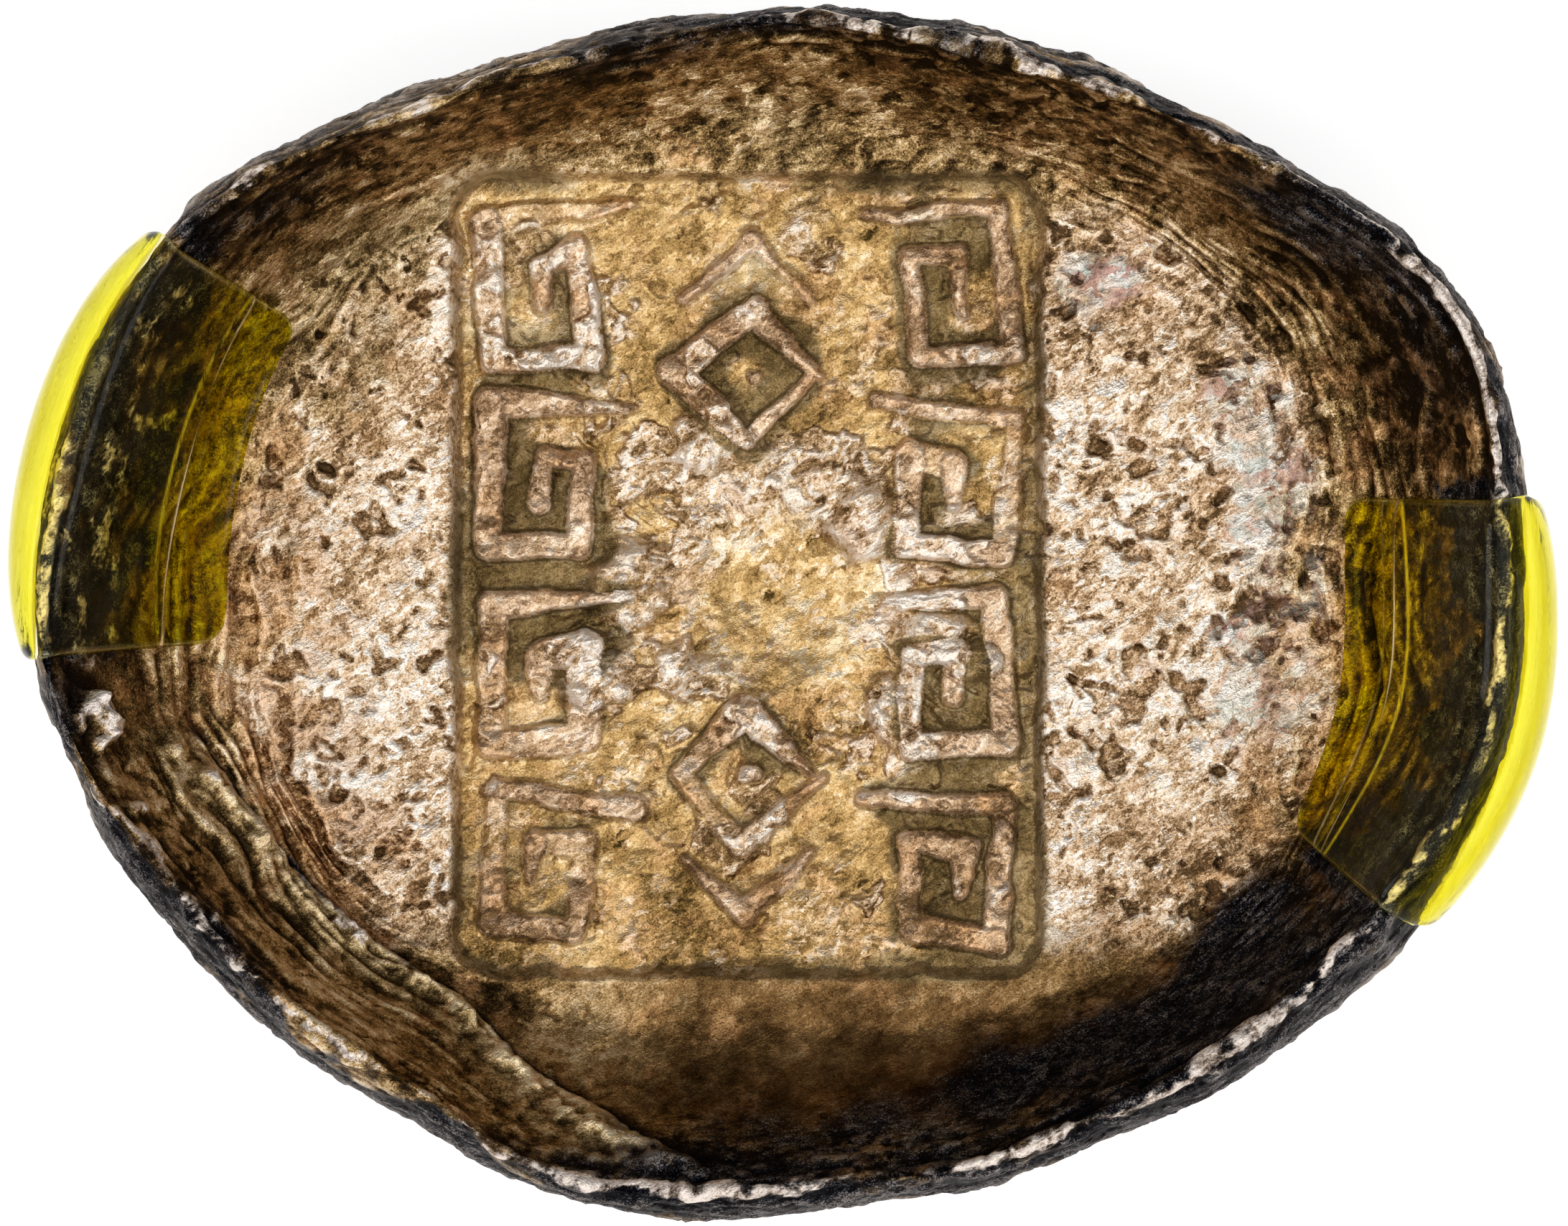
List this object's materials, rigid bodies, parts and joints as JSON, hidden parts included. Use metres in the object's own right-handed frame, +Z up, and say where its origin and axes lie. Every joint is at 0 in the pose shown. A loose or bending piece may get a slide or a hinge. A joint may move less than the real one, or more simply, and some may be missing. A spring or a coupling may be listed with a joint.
{
  "type": "silver sycee ingot",
  "caption": "Oval cast silver sycee ingot: flat foot, bowl-shaped flank, rippled dish with a struck fret panel, and clear amber clips that lift off its rim.",
  "frame": {"origin": "centre of the flat foot, on the surface that the ingot stands on", "axes": "+Z up out of the dish, +X along the long axis of the oval to the right end in the picture, +Y to the top side in the picture"},
  "size_m": [0.0688, 0.0534, 0.0263],
  "materials": {
    "tarnished_silver": "satin",
    "amber_plastic": "gloss"
  },
  "bodies": {
    "ingot": {"ingot": "tarnished_silver"},
    "left_clip": {"left_clip": "amber_plastic"},
    "right_clip": {"right_clip": "amber_plastic"}
  },
  "joints": [
    {"name": "left_clip_lift", "type": "slide", "parent": "ingot", "child": "left_clip", "axis": [0, 0, 1], "range_m": [0, 0.018]},
    {"name": "right_clip_lift", "type": "slide", "parent": "ingot", "child": "right_clip", "axis": [0, 0, 1], "range_m": [0, 0.018]}
  ]
}
